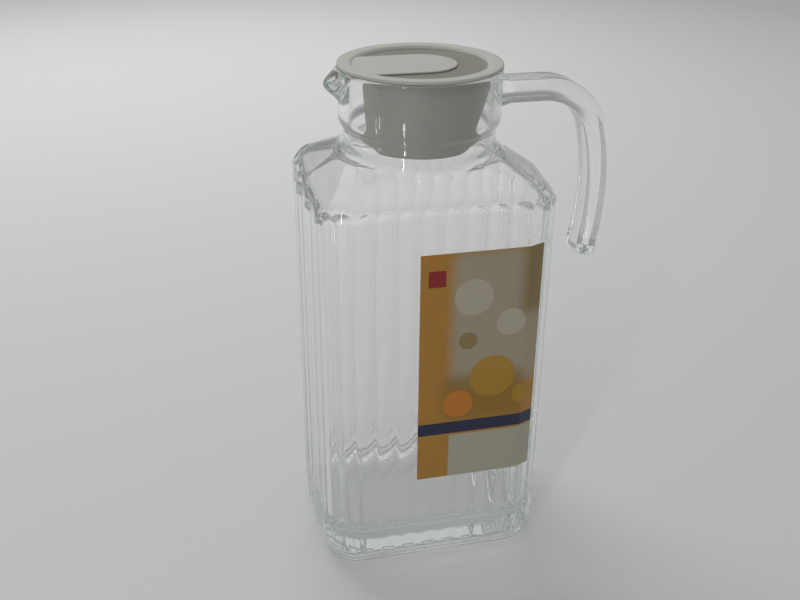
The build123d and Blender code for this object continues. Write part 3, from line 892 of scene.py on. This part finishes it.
class JUG_OT_lid(bpy.types.Operator):
    """Moulds the lid: a dished disc with a tongue, and a tapered hollow plug"""
    bl_idname = "jug.lid"
    bl_label = "Lid"

    def execute(self, context):
        sizes, count = context.scene.jug_lid, 288
        directions = [Vector((cos(a), sin(a))) for a in [2 * pi * k / count for k in range(count)]]
        outlines = [lid_outline(sizes, lid_top, direction)[::-1] for direction in directions]
        body = lathe("moulded_lid", outlines, directions)
        points, faces = tongue_shell(sizes, lid_top)
        tongue = bpy.data.meshes.new("tongue")
        tongue.from_pydata(points, [], faces)
        both = bmesh.new()
        both.from_mesh(body)
        both.from_mesh(tongue)
        both.to_mesh(body)
        both.free()
        bpy.data.meshes.remove(tongue)
        body.shade_smooth()
        body.set_sharp_from_angle(angle=radians(40))
        body.materials.append(moulded_polyethylene(sizes))
        lid = bpy.data.objects.new("moulded_lid", body)
        context.scene.collection.objects.link(lid)
        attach(lid, "lid")
        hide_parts("lid")
        return {"FINISHED"}


def film_tree():
    """Lays a film along a line of crests: it bends over each crest and spans the flutes between."""
    tree, given = new_tree("label_film", {
        "Float": ("Bottom", "Height", "Thickness", "Bend"), "Int": ("Columns", "Rows"),
        "Material": ("Material",)})
    line = add_node(tree, "GeometryNodeMeshToCurve", {"Mesh": given["Geometry"]})
    bent = add_node(tree, "GeometryNodeFilletCurve", {
        "Curve": line, "Radius": given["Bend"], "Count": 6, "Limit Radius": True}, mode="POLY")
    span = add_node(tree, "GeometryNodeCurveLength", {"Curve": bent})
    grid = add_node(tree, "GeometryNodeMeshGrid", {
        "Vertices X": given["Columns"], "Vertices Y": given["Rows"], "Size X": 1, "Size Y": 1})
    spot = add_node(tree, "ShaderNodeSeparateXYZ", (add_node(tree, "GeometryNodeInputPosition"),)).outputs
    share = add_node(tree, MATH, (spot["X"], 0.5), operation="ADD")
    up_share = add_node(tree, MATH, (spot["Y"], 0.5), operation="ADD")
    along = add_node(tree, MATH, (share, span), operation="MULTIPLY")
    up = add_node(tree, MATH, (up_share, given["Height"]), operation="MULTIPLY")
    film_map = add_node(tree, "ShaderNodeCombineXYZ", [
        add_node(tree, MATH, (way, 1 / MM), operation="MULTIPLY") for way in (along, up)])
    mapped = add_node(tree, "GeometryNodeStoreNamedAttribute", {
        "Geometry": grid, "Value": film_map, "Name": PRINT}, data_type="FLOAT2", domain="CORNER")
    spine = add_node(tree, "GeometryNodeSampleCurve", {"Curves": bent, "Factor": share}, mode="FACTOR")
    flat = add_node(tree, "ShaderNodeSeparateXYZ", (spine.outputs["Position"],)).outputs
    height = add_node(tree, MATH, (given["Bottom"], up), operation="ADD")
    target = add_node(tree, "ShaderNodeCombineXYZ", (flat["X"], flat["Y"], height))
    laid = add_node(tree, "GeometryNodeSetPosition", {"Geometry": mapped, "Position": target})
    front = add_node(tree, "GeometryNodeExtrudeMesh", {
        "Mesh": laid, "Offset Scale": given["Thickness"], "Individual": False})
    back = add_node(tree, "GeometryNodeFlipFaces", {"Mesh": laid})
    both = add_node(tree, "GeometryNodeJoinGeometry", {"Geometry": front})
    tree.links.new(back.outputs[0], both.inputs["Geometry"])
    closed = add_node(tree, "GeometryNodeMergeByDistance", {"Geometry": both, "Distance": 0.001 * MM})
    close_tree(tree, closed, given["Material"])
    return tree


class JUG_OT_label(bpy.types.Operator):
    """Lays the printed film over the crests"""
    bl_idname = "jug.label"
    bl_label = "Label"

    def execute(self, context):
        sizes, body = context.scene.jug_label, context.scene.jug_body
        plan = Plan(body)
        crests = [s for s in crest_stations(body, plan) if max(sizes.start, 0) <= s < sizes.end]
        stations = [sizes.start] + crests + [crests[-1] + body.flute_pitch]
        line = [place + outward * sizes.gap for place, outward in map(plan.point, stations)]
        line[-1] = line[-2].lerp(line[-1], (sizes.end - crests[-1]) / body.flute_pitch)
        mesh = bpy.data.meshes.new("crest_line")
        mesh.from_pydata([(p.x, p.y, 0) for p in line], [(k, k + 1) for k in range(len(line) - 1)], [])
        film = made_by(film_tree(), mesh, "label_film", {
            "Bottom": label_low.z, "Height": label_high.z - label_low.z, "Thickness": sizes.thickness,
            "Bend": sizes.bend, "Columns": 121, "Rows": 25, "Material": printed_film(sizes)})
        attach(film, "jug")
        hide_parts("front_label")
        return {"FINISHED"}


class JUG_PT_sidebar(bpy.types.Panel):
    """Lists the jug's sizes, colours and steps"""
    bl_idname = "JUG_PT_sidebar"
    bl_label = "Jug"
    bl_space_type = "VIEW_3D"
    bl_region_type = "UI"
    bl_category = "Jug"

    def draw(self, context):
        for operator, groups in STEPS:
            box = self.layout.box()
            for group in groups:
                sizes = getattr(context.scene, group)
                for key in sizes.__annotations__:
                    box.prop(sizes, key)
            box.operator(operator.bl_idname)


STEPS = ((JUG_OT_stage, ("jug_stage",)), (JUG_OT_glass, ("jug_body", "jug_glass")),
         (JUG_OT_lid, ("jug_lid",)), (JUG_OT_label, ("jug_label",)))
GROUPS = {"jug_stage": StageSizes, "jug_body": BodySizes, "jug_glass": GlassSizes, "jug_lid": LidSizes,
          "jug_label": LabelSizes}
CLASSES = (*GROUPS.values(), *(operator for operator, groups in STEPS), JUG_PT_sidebar)


def register():
    for cls in CLASSES:
        bpy.utils.register_class(cls)
    for name, group in GROUPS.items():
        setattr(bpy.types.Scene, name, bpy.props.PointerProperty(type=group))


def unregister():
    for name in GROUPS:
        delattr(bpy.types.Scene, name)
    for cls in reversed(CLASSES):
        bpy.utils.unregister_class(cls)


def main():
    register()
    bpy.ops.jug.stage()
    bpy.ops.jug.glass()
    bpy.ops.jug.lid()
    bpy.ops.jug.label()


if __name__ == "__main__":
    main()
